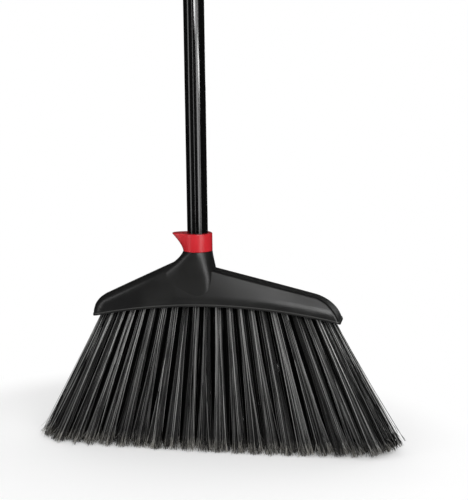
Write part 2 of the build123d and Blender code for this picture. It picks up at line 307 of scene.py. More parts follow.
@dataclass(frozen=True)
class MouldedPlastic(Finish):
    """Black or coloured injection-moulded plastic with a fine spark-eroded grain.

    Attributes:
        colour: Colour of most of the surface.
        worn: Colour where it is a little worn.
        roughness: Roughness between worn and unworn.
        grain: Cells of the grain for each metre.
        grain_depth: Height of the grain.
        gloss_coat: Weight of a glossy coat.
        grain_detail: Octaves of the grain.
        cloud: Cells of the wear for each metre.
        cloud_detail: Octaves of the wear.
        roughness_swing: Change of roughness from unworn to worn.
        coat_roughness: Roughness of the coat.
    """

    colour: Colour
    worn: Colour
    roughness: float
    grain: float = 1500.0
    grain_depth: float = 0.00004
    gloss_coat: float = 0.0
    grain_detail: float = 2.0
    cloud: float = 38.0
    cloud_detail: float = 4.0
    roughness_swing: Pair = (-0.04, 0.05)
    coat_roughness: float = 0.12

    def mix(self, recipe: Recipe) -> None:
        """Lay cloudy wear and a grain over the plastic.

        Args:
            recipe: The material.
        """
        where = recipe.place()
        cloud = recipe.noise(where, self.cloud, self.cloud_detail)
        unworn, worn = (self.roughness + change for change in self.roughness_swing)
        recipe.feed("Base Color", self.tint(recipe, cloud))
        recipe.feed("Roughness", recipe.between(cloud, unworn, worn))
        recipe.bump(recipe.noise(where, self.grain, self.grain_detail), self.grain_depth)
        recipe.set(Coat_Weight=self.gloss_coat, Coat_Roughness=self.coat_roughness)

    def tint(self, recipe: Recipe, cloud: Socket) -> Socket:
        """Colour of the surface.

        Args:
            recipe: The material.
            cloud: The pattern of wear.

        Returns:
            The colour socket.
        """
        return recipe.blend(recipe.between(cloud), self.colour, self.worn)


@dataclass(frozen=True)
class CapPlastic(MouldedPlastic):
    """Black plastic of the cap, with a painted highlight: a pale line along the upper edge of the lip of its
    bowed mouth.

    Attributes:
        lip_highlight: Colour of the painted highlight along the lip's upper edge.
        lip_radius: Radius of the lip's bow.
        lip_width: Width of the painted highlight to each side.
        bow_centre: Height of the bow's centre.
    """

    # Painted highlight: a pale line where the lip's upper edge would catch the light.
    lip_highlight: Colour = (0.05, 0.05, 0.048)
    lip_radius: float = 0.5018
    lip_width: float = 0.0005
    bow_centre: float = MOUTH_CENTRE

    def tint(self, recipe: Recipe, cloud: Socket) -> Socket:
        """Colour of the surface, with the painted highlight along the lip.

        Args:
            recipe: The material.
            cloud: The pattern of wear.

        Returns:
            The colour socket.
        """
        x, _, z = recipe.axes(recipe.place())
        rise = recipe.calculate("SUBTRACT", z, self.bow_centre)
        squares = (recipe.calculate("POWER", side, 2.0) for side in (x, rise))
        radius = recipe.calculate("SQRT", recipe.calculate("ADD", *squares))
        off_lip = recipe.calculate("ABSOLUTE", recipe.calculate("SUBTRACT", radius, self.lip_radius))
        # The pale line along the lip's upper edge is a painted highlight.
        line = recipe.ramp(off_lip, (self.lip_width / 2, self.lip_width), (1.0, 0.0))
        return recipe.blend(line, super().tint(recipe, cloud), self.lip_highlight)


@dataclass(frozen=True)
class TubePaint(Finish):
    """Glossy black paint on drawn tube, with a faint ripple and fine lines along the tube.

    Attributes:
        colour: Colour of the paint.
        scuffed: Colour along the fine lines.
        roughness: Roughness of the paint.
        dulling: Roughness that the fine lines add.
        line_cells: Cells of the fine lines for each metre of X, Y and Z.
        line_detail: Octaves of the fine lines.
        ripple: Cells of the ripple for each metre round the tube.
        ripple_stretch: The same along each axis, as a share.
        ripple_depth: Height of the ripple.
        coat: Weight of the clear coat.
        coat_roughness: Roughness of the clear coat.
    """

    colour: Colour
    scuffed: Colour
    roughness: float
    dulling: float = 0.06
    line_cells: Triple = (900.0, 900.0, 6.0)
    line_detail: float = 2.0
    ripple: float = 90.0
    ripple_stretch: Triple = (1.0, 1.0, 0.25)
    ripple_depth: float = 0.00001
    coat: float = 0.3
    coat_roughness: float = 0.06

    def mix(self, recipe: Recipe) -> None:
        """Lay fine lines, a ripple and a clear coat over the paint.

        Args:
            recipe: The material.
        """
        lines = recipe.noise(recipe.place(self.line_cells), 1.0, self.line_detail)
        ripple = recipe.noise(recipe.place(self.ripple_stretch), self.ripple, 0.0)
        recipe.feed("Base Color", recipe.blend(recipe.between(lines), self.colour, self.scuffed))
        recipe.feed("Roughness", recipe.between(lines, self.roughness, self.roughness + self.dulling))
        recipe.bump(ripple, self.ripple_depth)
        recipe.set(Coat_Weight=self.coat, Coat_Roughness=self.coat_roughness)


@dataclass(frozen=True)
class StapleSteel(Finish):
    """Bright drawn steel strip.

    Attributes:
        colour: Colour of the bright metal.
        dull: Colour along its streaks.
        roughness: Roughness of the metal.
        streak_cells: Cells of the streaks for each metre of X, Y and Z.
        streak_detail: Octaves of the streaks.
    """

    colour: Colour
    dull: Colour
    roughness: float = 0.35
    streak_cells: Triple = (200.0, 200.0, 4000.0)
    streak_detail: float = 2.0

    def mix(self, recipe: Recipe) -> None:
        """Streak the metal.

        Args:
            recipe: The material.
        """
        streaks = recipe.noise(recipe.place(self.streak_cells), 1.0, self.streak_detail)
        recipe.feed("Base Color", recipe.blend(recipe.between(streaks), self.colour, self.dull))
        recipe.set(Metallic=1.0, Roughness=self.roughness)


@dataclass(frozen=True)
class BristlePlastic(Finish):
    """Black plastic filament whose split tip turns a dusty grey.

    Attributes:
        specular: Strength of the gloss.
        dark: Colour of the darkest filaments.
        light: Colour of the lightest filaments, partly their own grey and partly a painted highlight that
            stands in for glints on glossy black filaments.
        dusty: Colour of dusty tips.
        tip_height: Height above the floor up to which the tips are dusty.
        roughness: Roughness of a light filament.
        tip_dulling: Roughness that the tip adds.
        dust_tones: Tones over which dust comes to show.
        dust_shares: Shares of dust at those tones.
        dark_tones: Tones over which a dark filament turns glossy.
        dark_dulling: Roughness added at those tones.
    """

    specular: float
    dark: Colour = (0.002, 0.002, 0.002)
    # Partly real grey, partly a painted highlight in place of glints.
    light: Colour = (0.5, 0.5, 0.49)
    dusty: Colour = (0.36, 0.345, 0.305)
    tip_height: float = 0.017
    roughness: float = 0.3
    tip_dulling: float = 0.25
    dust_tones: Pair = (0.0, 0.2)
    dust_shares: Pair = (0.05, 1.0)
    dark_tones: Pair = (0.0, 0.12)
    dark_dulling: Pair = (0.5, 0.0)

    def mix(self, recipe: Recipe) -> None:
        """Colour each filament by its tone, which carries painted shade and, in its light filaments, a partly
        painted highlight, and dust its tip.

        Args:
            recipe: The material.
        """
        tone = recipe.node("ShaderNodeAttribute", attribute_name="tone").outputs["Fac"]
        height = recipe.axes(recipe.place())[2]
        tip = recipe.ramp(height, (0.0, self.tip_height), (1.0, 0.0))
        # Painted light: low tones carry the inner rows' painted shade, high tones partly a painted highlight
        # in place of glints.
        shaft_colour = recipe.blend(tone, self.dark, self.light)
        dust = recipe.ramp(tone, self.dust_tones, self.dust_shares)
        tip_colour = recipe.blend(dust, self.dark, self.dusty)
        recipe.feed("Base Color", recipe.blend(tip, shaft_colour, tip_colour))
        rough = recipe.ramp(tip, (0.0, 1.0), (self.roughness, self.roughness + self.tip_dulling))
        dull = recipe.ramp(tone, self.dark_tones, self.dark_dulling)
        recipe.feed("Roughness", recipe.calculate("ADD", rough, dull))
        recipe.set(Specular_IOR_Level=self.specular)


def deselect() -> None:
    """Leave edit mode and deselect every object."""
    if bpy.context.object and bpy.context.object.mode != "OBJECT":
        bpy.ops.object.mode_set(mode="OBJECT")
    bpy.ops.object.select_all(action="DESELECT")


def dress(node: str, material: bpy.types.Material) -> None:
    """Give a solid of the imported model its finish.

    Args:
        node: Name of the node.
        material: The finish.
    """
    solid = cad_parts[node]
    solid.data.materials.clear()
    solid.data.materials.append(material)
    LOG.info("dressed %s", node)


def extrude_rod(name: str, sides: int, rings: Sequence[Pair], x: float = 0.0) -> bpy.types.Object:
    """Extrude a disc ring by ring into a closed rod that stands along +Z.

    Args:
        name: Name of the rod.
        sides: Sides of every ring.
        rings: Height and radius of each ring, from the foot.
        x: Place of its axis along X.

    Returns:
        The rod.
    """
    deselect()
    foot, foot_radius = rings[0]
    bpy.ops.mesh.primitive_circle_add(
        vertices=sides, radius=foot_radius, fill_type="NGON", location=(x, 0, foot)
    )
    rod = bpy.context.object
    rod.name = name
    bpy.ops.object.transform_apply(location=True)
    bpy.ops.object.mode_set(mode="EDIT")
    bpy.ops.mesh.select_all(action="SELECT")
    for (low, radius), (high, next_radius) in zip(rings, rings[1:]):
        growth = next_radius / radius
        bpy.ops.mesh.extrude_region_move(TRANSFORM_OT_translate={"value": (0, 0, high - low)})
        bpy.ops.transform.resize(value=(growth, growth, 1), center_override=(x, 0, high))
    bpy.ops.mesh.select_all(action="SELECT")
    bpy.ops.mesh.normals_make_consistent(inside=False)
    bpy.ops.object.mode_set(mode="OBJECT")
    return rod


@dataclass(frozen=True)
class Strand:
    """One closed four-sided filament of unit length, modelled once along +Z.

    Attributes:
        rings: Height and radius of each ring, as shares of its length and of its radius.
    """

    rings: tuple[Pair, ...]

    def model(self) -> tuple[np.ndarray, np.ndarray]:
        """Model the filament, read it and remove it.

        Returns:
            Its points, and its faces as rows of four point numbers.
        """
        rod = extrude_rod("strand", 4, self.rings)
        points = np.array([point.co for point in rod.data.vertices])
        faces = np.array([face.vertices for face in rod.data.polygons])
        bpy.data.meshes.remove(rod.data)
        return points, faces


@dataclass(frozen=True)
class TuftRows:
    """Bowed rows of tufts on an arched face, fanned out towards both ends.

    Attributes:
        names: Names of the rows, from the front.
        counts: Tufts in each row.
        pitch: Space from tuft to tuft.
        middle_x: Middle of the rows along X.
        row_pitch: Space from row to row at the middle.
        row_bow: Share of that space by which the rows close up at the ends.
        row_spread: Space between the rows at the tips, as a share of that at the roots.
        length: Length of the bristles at the middle.
        face_radius: Radius of the arched face.
        face_centre: Height of the arch's centre.
        fan: Lean of the last tufts, in radians.
    """

    names: tuple[str, ...] = ("front", "mid_front", "mid_back", "back")
    counts: tuple[int, ...] = (20, 21, 22, 21)
    pitch: float = 0.0101
    middle_x: float = -0.001
    row_pitch: float = 0.0072
    row_bow: float = 0.35
    row_spread: float = 1.75
    length: float = 0.137
    face_radius: float = 0.501
    face_centre: float = MOUTH_CENTRE
    fan: float = math.radians(26.6)

    def outside(self, row: int) -> bool:
        """Whether a row is the first or the last."""
        return row in (0, len(self.names) - 1)

    def tufts(self, row: int) -> tuple[np.ndarray, np.ndarray, np.ndarray]:
        """Where the tufts of a row leave the block, and which way they go.

        Args:
            row: Number of the row, from the front.

        Returns:
            Root points, unit directions, and shares of the way to the end of the field.
        """
        half_width = (max(self.counts) - 1) * self.pitch / 2
        count = self.counts[row]
        from_middle = (np.arange(count) - (count - 1) / 2) * self.pitch
        share = from_middle / half_width
        row_y = (row - (len(self.counts) - 1) / 2) * self.row_pitch
        x = self.middle_x + from_middle
        y = row_y * (1 - self.row_bow * share**2)
        z = self.face_centre + np.sqrt(self.face_radius**2 - x**2)
        lean = np.tan(self.fan * share)
        splay = y * (self.row_spread - 1) / self.length
        way = np.stack([lean, splay, -np.ones(count)], 1)
        return np.stack([x, y, z], 1), way / np.linalg.norm(way, axis=1, keepdims=True), share


@dataclass(frozen=True)
class Shading:
    """How light the filaments are, with painted shade on the inner rows and a darkening towards the tips.

    Attributes:
        inner_shade: Lightness of the inner rows, as a share of the outer rows': painted shade, for the inner
            rows lying in the shadow of the outer rows.
        outer_contrast: Power of chance in the outer rows. A high power leaves few light filaments.
        inner_contrast: Power of chance in the inner rows; its high power, which leaves them mostly dark with
            a few light filaments, is part of their painted shade.
        lit_ends: Shares of the way to the end of a row between which the painted shade of the inner rows
            fades out, as their ends are lit.
        tip_shade: Share of its lightness that a filament loses at its tip.
        tip_curve: Power with which it loses it.
    """

    # The inner rows' lightness and contrast are painted shade.
    inner_shade: float = 0.16
    outer_contrast: float = 4.5
    inner_contrast: float = 14.0
    lit_ends: Pair = (0.84, 0.96)
    tip_shade: float = 0.6
    tip_curve: float = 1.5

    def tuft_shades(self, shares: np.ndarray, outside: bool) -> tuple[np.ndarray, np.ndarray]:
        """Painted shade and contrast of the tufts of a row.

        Args:
            shares: Shares of the way to the end of the row.
            outside: Whether the row is the first or the last.

        Returns:
            A lightness and a power of chance for each tuft.
        """
        lit_from, lit_to = self.lit_ends
        # Painted shade: the inner rows are darkened as if in the outer rows' shadow, except near their ends.
        hidden = np.clip((lit_to - np.abs(shares)) / (lit_to - lit_from), 0, 1) * (not outside)
        shade = 1 - (1 - self.inner_shade) * hidden
        contrasts = (self.inner_contrast, self.outer_contrast)
        return shade, np.interp(shade, (self.inner_shade, 1), contrasts)

    def along(self, t: np.ndarray) -> np.ndarray:
        """Share of its lightness that a filament keeps on its way to the tip."""
        return 1 - self.tip_shade * np.clip(t, 0, None) ** self.tip_curve


@dataclass(frozen=True)
class Paths:
    """Middle lines of filaments, with one entry for each filament in every array.

    Attributes:
        root: Points where their tufts leave the block.
        way: Unit directions of their tufts.
        across: Unit directions across their tufts, along the row.
        along: Unit directions across their tufts, from row to row.
        run: Lengths.
        start: Distances from the tuft's middle at the root, across and along.
        end: The same at the tip.
        opening: Powers with which they go from start to end.
        wave: Heights of their waves, across and along.
        phase: Phases of their waves, across and along.
        spin: Turns about their own middle lines.
        tone: Lightness: random tone, darkened by the painted shade of the inner rows.
        wave_turn: Turn of a wave from root to tip, in radians, the same for all.
    """

    root: np.ndarray
    way: np.ndarray
    across: np.ndarray
    along: np.ndarray
    run: np.ndarray
    start: np.ndarray
    end: np.ndarray
    opening: np.ndarray
    wave: np.ndarray
    phase: np.ndarray
    spin: np.ndarray
    tone: np.ndarray
    wave_turn: ClassVar[float] = 5.0

    def repeated(self, times: int) -> "Paths":
        """Each middle line several times over."""
        return Paths(*(np.repeat(getattr(self, each.name), times, 0) for each in fields(self)))

    def aside(self, x: np.ndarray, y: np.ndarray) -> np.ndarray:
        """Steps aside from the middle lines.

        Args:
            x: Distance across, for each filament and point.
            y: Distance along, for each filament and point.

        Returns:
            Vectors, for each filament and point.
        """
        return self.across[:, None] * x[..., None] + self.along[:, None] * y[..., None]

    def points(self, t: np.ndarray) -> np.ndarray:
        """Points on the middle lines.

        Args:
            t: Share of the way from root to tip, for each filament and point.

        Returns:
            Points, for each filament and point.
        """
        # Inside its hole, where t is below 0, a filament runs straight.
        out = np.clip(t, 0, None)
        spread = out ** self.opening[:, None]
        steps = []
        for side in range(2):
            start, end, wave, phase = (
                values[:, side, None] for values in (self.start, self.end, self.wave, self.phase)
            )
            sway = wave * out**2 * np.sin(self.wave_turn * t + phase)
            steps.append(start * (1 - spread) + end * spread + sway)
        reach = (self.run[:, None] * t)[..., None]
        return self.root[:, None] + self.way[:, None] * reach + self.aside(*steps)


@dataclass
class Hairs:
    """Points, faces and tones of many closed hairs.

    Attributes:
        points: Points of all the hairs.
        faces: Faces, as rows of four point numbers.
        tones: Lightness of each point.
    """

    points: np.ndarray
    faces: np.ndarray
    tones: np.ndarray

    @classmethod
    def copies(cls, where: np.ndarray, faces: np.ndarray, tone: np.ndarray) -> "Hairs":
        """Put copies of one hair together.

        Args:
            where: Points of every copy.
            faces: Faces of one copy.
            tone: Tone of every point of every copy.

        Returns:
            All the hairs.
        """
        count, size = where.shape[:2]
        shift = np.arange(count)[:, None, None] * size
        return cls(where.reshape(-1, 3), (faces[None] + shift).reshape(-1, 4), tone.reshape(-1))

    def mesh(self, name: str) -> bpy.types.Mesh:
        """Make a smooth mesh that carries the tones.

        Args:
            name: Name of the mesh.

        Returns:
            The mesh.
        """
        mesh = bpy.data.meshes.new(name)
        mesh.from_pydata(self.points.tolist(), [], self.faces.tolist())
        tones = mesh.attributes.new("tone", "FLOAT", "POINT")
        tones.data.foreach_set("value", self.tones.astype(np.float32))
        mesh.shade_smooth()
        return mesh


@dataclass(frozen=True)
class SplitTips:
    """Fine hairs that splay from the last stretch of every filament.

    Attributes:
        count: Hairs on each filament.
        start: Where the first of them leave it, as a share of its length.
        stagger: Share of its length over which the others follow.
        reach: Stray of their ends, across and along.
        curve: Power with which they leave the filament.
        thickness: Their radius, as a share of the filament's.
        least_tone: Least share of the filament's tone that they keep.
        strand: The hair.
    """

    count: int = 2
    start: float = 0.9
    stagger: float = 0.05
    reach: float = 0.0023
    curve: float = 1.3
    thickness: float = 0.5
    least_tone: float = 0.6
    strand: Strand = Strand(((0.0, 1.0), (0.5, 0.9), (1.0, 0.6)))

    def draw(self, paths: Paths, radius: float, random: np.random.Generator) -> Hairs:
        """Copy the hair to the end of every filament.

        Args:
            paths: The filaments.
            radius: Radius of a filament.
            random: Source of chance.

        Returns:
            The hairs.
        """
        points, faces = self.strand.model()
        paths = paths.repeated(self.count)
        total = len(paths.run)
        start = self.start + random.random((total, 1)) * self.stagger
        t = start + (1 - start) * points[:, 2]
        splay = random.normal(0, self.reach, (total, 2))
        leave = points[:, 2] ** self.curve
        x, y = (splay[:, side, None] * leave + points[:, side] * radius * self.thickness for side in range(2))
        keep = self.least_tone + (1 - self.least_tone) * random.random(total)
        tone = np.repeat(paths.tone * keep, len(points))
        return Hairs.copies(paths.points(t) + paths.aside(x, y), faces, tone)


@dataclass
class BristleField:
    """Rows of tufts, each drawn as its filaments with split tips.

    Attributes:
        outer: Finish of the first and the last row.
        inner: Finish of the rows between: a copy of the outer finish with weaker gloss, as painted shade.
        rows: Where the tufts stand.
        shading: How light the filaments are, with the painted shade of the inner rows.
        tips: Hairs at the tips.
        filaments: Filaments in each tuft, row by row.
        radius: Radius of a filament.
        strand: The filament.
        sink: Share of its length by which a filament starts inside its hole.
        root_reach: Radius of a tuft at its root.
        root_crowd: Power of chance that draws the roots to the rim of the tuft.
        tip_reach: Radius of a tuft at its tip.
        tip_crowd: Power that draws the tips further to the rim.
        tip_stray: Stray of that radius, as a share.
        swirl: Stray of a filament's turn round its tuft, in radians.
        outer_opening: Power with which the tufts of the outer rows open.
        inner_opening: Power with which the tufts of the inner rows open.
        wave: Stray of the height of a filament's waves.
        uneven: Stray of the tips' heights.
        short_share: Share of the filaments that end early.
        short_by: Most that these end early by.
        right_rise: Rise of the tips at the right end of the rows.
        right_start: Share of the way to that end where the rise starts.
        right_curve: Power with which it grows.
        floor_gap: Least height of a tip above the floor.
        seed: Seed of chance for the first row.
    """

    outer: BristlePlastic = BristlePlastic("bristle_outer", specular=0.5)
    # Painted shade: the inner rows' finish is the outer one with its gloss turned down.
    inner: BristlePlastic = BristlePlastic("bristle_inner_shaded", specular=0.04)
    rows: TuftRows = TuftRows()
    shading: Shading = Shading()
    tips: SplitTips = SplitTips()
    filaments: tuple[int, ...] = (54, 64, 64, 54)
    radius: float = 0.0003
    strand: Strand = Strand(((0.0, 1.0), (0.3, 1.0), (0.6, 1.0), (0.85, 0.95), (1.0, 0.6)))
    sink: float = 0.015
    root_reach: float = 0.0028
    root_crowd: float = 0.4
    tip_reach: float = 0.0068
    tip_crowd: float = 0.85
    tip_stray: float = 0.22
    swirl: float = 0.7
    outer_opening: float = 1.6
    inner_opening: float = 1.15
    wave: float = 0.0006
    uneven: float = 0.001
    short_share: float = 0.1
    short_by: float = 0.01
    right_rise: float = 0.0045
    right_start: float = 0.3
    right_curve: float = 1.5
    floor_gap: float = 0.0002
    seed: int = 11

    def paths(self, row: int, random: np.random.Generator) -> Paths:
        """Lay out the filaments of a row.

        Args:
            row: Number of the row, from the front.
            random: Source of chance.

        Returns:
            Their middle lines.
        """
        outside = self.rows.outside(row)
        roots, ways, shares = self.rows.tufts(row)
        shade, contrast = self.shading.tuft_shades(shares, outside)
        tuft = np.repeat(np.arange(len(roots)), self.filaments[row])
        total = len(tuft)
        root, way = roots[tuft], ways[tuft]
        # Across is the part of +X that is square to the tuft.
        across = np.array([1.0, 0, 0]) - way * way[:, :1]
        across /= np.linalg.norm(across, axis=1, keepdims=True)
        # A filament's place in its tuft is a share of the radius and a turn, at the root and at the tip.
        near = random.random(total) ** self.root_crowd
        turn = random.random(total) * math.tau
        tip_turn = turn + random.normal(0, self.swirl, total)
        tip_near = near**self.tip_crowd * (1 + random.normal(0, self.tip_stray, total))
        tip_z = np.abs(random.normal(0, self.uneven, total))
        past_start = np.clip((shares[tuft] - self.right_start) / (1 - self.right_start), 0, 1)
        tip_z += self.right_rise * past_start**self.right_curve
        short = random.random(total) < self.short_share
        tip_z += np.where(short, random.random(total) * self.short_by, 0)
        return Paths(
            root=root,
            way=way,
            across=across,
            along=np.cross(way, across),
            run=(root[:, 2] - tip_z) / -way[:, 2],
            start=self.root_reach * near[:, None] * np.stack([np.cos(turn), np.sin(turn)], 1),
            end=self.tip_reach * tip_near[:, None] * np.stack([np.cos(tip_turn), np.sin(tip_turn)], 1),
            opening=np.full(total, self.outer_opening if outside else self.inner_opening),
            wave=random.normal(0, self.wave, (total, 2)),
            phase=random.random((total, 2)) * math.tau,
            spin=random.random(total) * math.tau,
            # Random tone, times the painted shade of the tuft's row.
            tone=random.random(total) ** contrast[tuft] * shade[tuft],
        )

    def shafts(self, paths: Paths) -> Hairs:
        """Copy the filament, one copy bent along each middle line.

        Args:
            paths: The middle lines.

        Returns:
            The filaments.
        """
        points, faces = self.strand.model()
        t = np.broadcast_to(points[:, 2] * (1 + self.sink) - self.sink, (len(paths.run), len(points)))
        cos, sin = np.cos(paths.spin)[:, None], np.sin(paths.spin)[:, None]
        x = (points[:, 0] * cos - points[:, 1] * sin) * self.radius
        y = (points[:, 0] * sin + points[:, 1] * cos) * self.radius
        tone = paths.tone[:, None] * self.shading.along(t)
        return Hairs.copies(paths.points(t) + paths.aside(x, y), faces, tone)

    def row_hairs(self, row: int) -> Hairs:
        """Draw the filaments and split tips of a row.

        Args:
            row: Number of the row, from the front.

        Returns:
            All its hairs, kept above the floor.
        """
        random = np.random.default_rng(self.seed + row)
        paths = self.paths(row, random)
        shafts = self.shafts(paths)
        tips = self.tips.draw(paths, self.radius, random)
        points = np.concatenate([shafts.points, tips.points])
        points[:, 2] = np.maximum(points[:, 2], self.floor_gap)
        faces = np.concatenate([shafts.faces, tips.faces + len(shafts.points)])
        return Hairs(points, faces, np.concatenate([shafts.tones, tips.tones]))

    def build(self) -> None:
        """Draw every row, each in place of its solid tufts."""
        outer, inner = self.outer.build(), self.inner.build()
        for row, name in enumerate(self.rows.names):
            mesh = self.row_hairs(row).mesh(f"{name}_bristles")
            # The inner rows take the shaded copy of the finish: painted shade.
            mesh.materials.append(outer if self.rows.outside(row) else inner)
            piece = bpy.data.objects.new(f"{name}_bristles", mesh)
            bpy.context.scene.collection.objects.link(piece)
            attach(piece, Body.HEAD.value)
            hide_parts(f"{name}_tufts")
            LOG.info("%s: %d faces", piece.name, len(mesh.polygons))


@dataclass
class BroomHead:
    """Moulded cap, with the tuft block and the staple plates inside it.

    Attributes:
        cap: Finish of the cap.
        block: Finish of the tuft block.
        staples: Finish of the staple plates.
    """

    cap: CapPlastic = CapPlastic(
        "cap_satin",
        colour=(0.008, 0.008, 0.008),
        worn=(0.011, 0.011, 0.0105),
        roughness=0.33,
    )
    block: MouldedPlastic = MouldedPlastic(
        "block_matte",
        colour=(0.012, 0.012, 0.012),
        worn=(0.018, 0.018, 0.018),
        roughness=0.6,
    )
    staples: StapleSteel = StapleSteel("staple_steel", colour=(0.62, 0.62, 0.62), dull=(0.4, 0.4, 0.4))

    def build(self) -> None:
        """Dress the cap, the block and the staple plates."""
        dress("head_shell", self.cap.build())
        dress("tuft_block", self.block.build())
        dress("tuft_anchors", self.staples.build())


@dataclass
class LockCollar:
    """Red collar with its thumb beak.

    Attributes:
        finish: Finish of the collar.
    """

    finish: MouldedPlastic = MouldedPlastic(
        "collar_red",
        colour=(0.46, 0.009, 0.016),
        worn=(0.5, 0.012, 0.02),
        roughness=0.3,
        grain=900.0,
        grain_depth=0.00001,
        gloss_coat=0.35,
    )

    def build(self) -> None:
        """Dress the collar."""
        dress("lock_collar", self.finish.build())


@dataclass
class HandleScrew:
    """Plug of the upper tube with the screw that joins it to the lower tube.

    Attributes:
        finish: Finish of the plug and the screw.
        foot: Height of the screw's lower end.
        seam: Height at which the screw meets the plug, at the foot of the upper tube.
        top: Height of the plug's upper end.
        plug_radius: Radius of the plug.
        crest: Radius of the thread's crests.
        core: Radius of the thread's roots.
        pitch: Rise of the thread in a turn.
        run_out: Length over which the thread fades out below the seam.
        chamfer: Chamfer of the screw's end.
        flank: Fall of a flank's line over half a pitch, as a share of the thread's depth.
        crest_land: Rise of that line above the flat crest at its middle, as such a share.
        slack: Share by which a point of the screw may lie past the crests.
        sides: Sides of the screw.
        steps_in_turn: Rings of points in a turn of the thread.
        sharp: Least angle of an edge that stays sharp, in degrees.
    """

    finish: MouldedPlastic = MouldedPlastic(
        "screw_nylon",
        colour=(0.02, 0.02, 0.02),
        worn=(0.028, 0.028, 0.027),
        roughness=0.36,
    )
    foot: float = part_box("upper_insert")[0].z
    seam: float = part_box("upper_tube")[0].z
    top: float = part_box("upper_insert")[1].z
    plug_radius: float = 0.00875
    crest: float = 0.0063
    core: float = 0.0053
    pitch: float = 0.003
    run_out: float = 0.002
    chamfer: float = 0.001
    flank: float = 1.6
    crest_land: float = 0.4
    slack: float = 0.001
    sides: int = 48
    steps_in_turn: int = 10
    sharp: float = 40.0

    def build(self) -> None:
        """Model the screw and the plug as one rod, cut the thread, and put it in its solid's place."""
        piece = extrude_rod("handle_screw", self.sides, self.rings(), HANDLE_X)
        self.cut_thread(piece.data)
        deselect()
        piece.select_set(True)
        bpy.ops.object.shade_smooth_by_angle(angle=math.radians(self.sharp))
        piece.data.materials.append(self.finish.build())
        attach(piece, Body.UPPER_HANDLE.value)
        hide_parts("upper_insert")
        LOG.info("%s: %d faces", piece.name, len(piece.data.polygons))

    def rings(self) -> list[Pair]:
        """Rings of the rod before its thread is cut.

        Returns:
            Height and radius of each ring, from the foot.
        """
        shoulder = self.foot + self.chamfer
        step = self.pitch / self.steps_in_turn
        count = round((self.seam - shoulder) / step)
        heights = [min(shoulder + ring * step, self.seam) for ring in range(count + 1)]
        screw = [(self.foot, self.crest - self.chamfer)] + [(height, self.crest) for height in heights]
        return screw + [(self.seam, self.plug_radius), (self.top, self.plug_radius)]

    def cut_thread(self, mesh: bpy.types.Mesh) -> None:
        """Sink the groove of the thread between its crests.

        Args:
            mesh: The rod.
        """
        for point in mesh.vertices:
            x, y, z = point.co.x - HANDLE_X, point.co.y, point.co.z
            radius = math.hypot(x, y)
            # The plug and the chamfered end keep their radius.
            if radius > self.crest * (1 + self.slack) or not self.foot + self.chamfer < z < self.seam:
                continue
            turn = (z - self.foot) / self.pitch - math.atan2(y, x) / math.tau
            off_crest = abs(turn % 1.0 - 0.5) * 2
            depth = min(max(self.flank * off_crest - self.crest_land, 0.0), 1.0)
            fade = min(1.0, (self.seam - z) / self.run_out)
            growth = (self.crest - (self.crest - self.core) * depth * fade) / radius
            point.co.x = HANDLE_X + x * growth
            point.co.y = y * growth


@dataclass
class Handle:
    """Two tubes with their inner fittings, the coupling sleeve and the end grip.

    Attributes:
        paint: Finish of the tubes.
        fitting: Finish of the plug, the lower insert and the sleeve.
        grip: Finish of the grip.
    """

    paint: TubePaint = TubePaint(
        "tube_gloss",
        colour=(0.0012, 0.0012, 0.0012),
        scuffed=(0.003, 0.003, 0.003),
        roughness=0.08,
    )
    fitting: MouldedPlastic = MouldedPlastic(
        "fitting_satin",
        colour=(0.016, 0.016, 0.016),
        worn=(0.022, 0.022, 0.021),
        roughness=0.42,
    )
    grip: MouldedPlastic = MouldedPlastic(
        "grip_soft",
        colour=(0.014, 0.014, 0.014),
        worn=(0.02, 0.02, 0.019),
        roughness=0.5,
        grain=900.0,
        grain_depth=0.00008,
    )

    def build(self) -> None:
        """Dress the tubes, the fittings and the grip."""
        paint = self.paint.build()
        fitting = self.fitting.build()
        for node in TUBES:
            dress(node, paint)
        for node in ("handle_plug", "lower_insert", "coupling_sleeve"):
            dress(node, fitting)
        dress("end_grip", self.grip.build())


@dataclass(frozen=True)
class Softbox:
    """A soft lamp on a ring round the handle.

    Attributes:
        name: Name of the lamp.
        turn: Place on the ring, in degrees from the front towards +X.
        height: Height of its middle.
        distance: Radius of the ring.
        width: Width of the lamp.
        tall: Height of the lamp.
        glow: Brightness of its face, where 1 is white.
        tilt: Turn of the lamp about its aim, in degrees.
        gloss_on: Nodes in which alone it shows, and only as a reflection; all of them if empty.
    """

    name: str
    turn: float
    height: float
    distance: float
    width: float
    tall: float
    glow: float
    tilt: float = 0.0
    gloss_on: tuple[str, ...] = ()

    def build(self) -> None:
        """Stand the lamp, face it level to the handle, and tilt it about its aim."""
        lamp = bpy.data.lights.new(self.name, "AREA")
        lamp.shape = "RECTANGLE"
        lamp.size = self.width
        lamp.size_y = self.tall
        # The face of an area lamp is as bright as its power divided by pi and by its area.
        lamp.energy = self.glow * math.pi * self.width * self.tall
        holder = bpy.data.objects.new(self.name, lamp)
        bpy.context.scene.collection.objects.link(holder)
        turn = math.radians(self.turn)
        outward = Vector((math.sin(turn), -math.cos(turn), 0)) * self.distance
        holder.matrix_world = (
            Matrix.Translation(Vector((HANDLE_X, 0, self.height)) + outward)
            @ (-outward).to_track_quat("-Z", "Y").to_matrix().to_4x4()
            @ Matrix.Rotation(math.radians(self.tilt), 4, "Z")
        )
        if self.gloss_on:
            self.keep_to_gloss(holder)

    def keep_to_gloss(self, holder: bpy.types.Object) -> None:
        """Let the lamp show only as a reflection in some of the solids.

        Args:
            holder: The lamp's object.
        """
        holder.visible_diffuse = False
        shown = bpy.data.collections.new(f"{self.name}_shown")
        for node in self.gloss_on:
            shown.objects.link(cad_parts[node])
        holder.light_linking.receiver_collection = shown


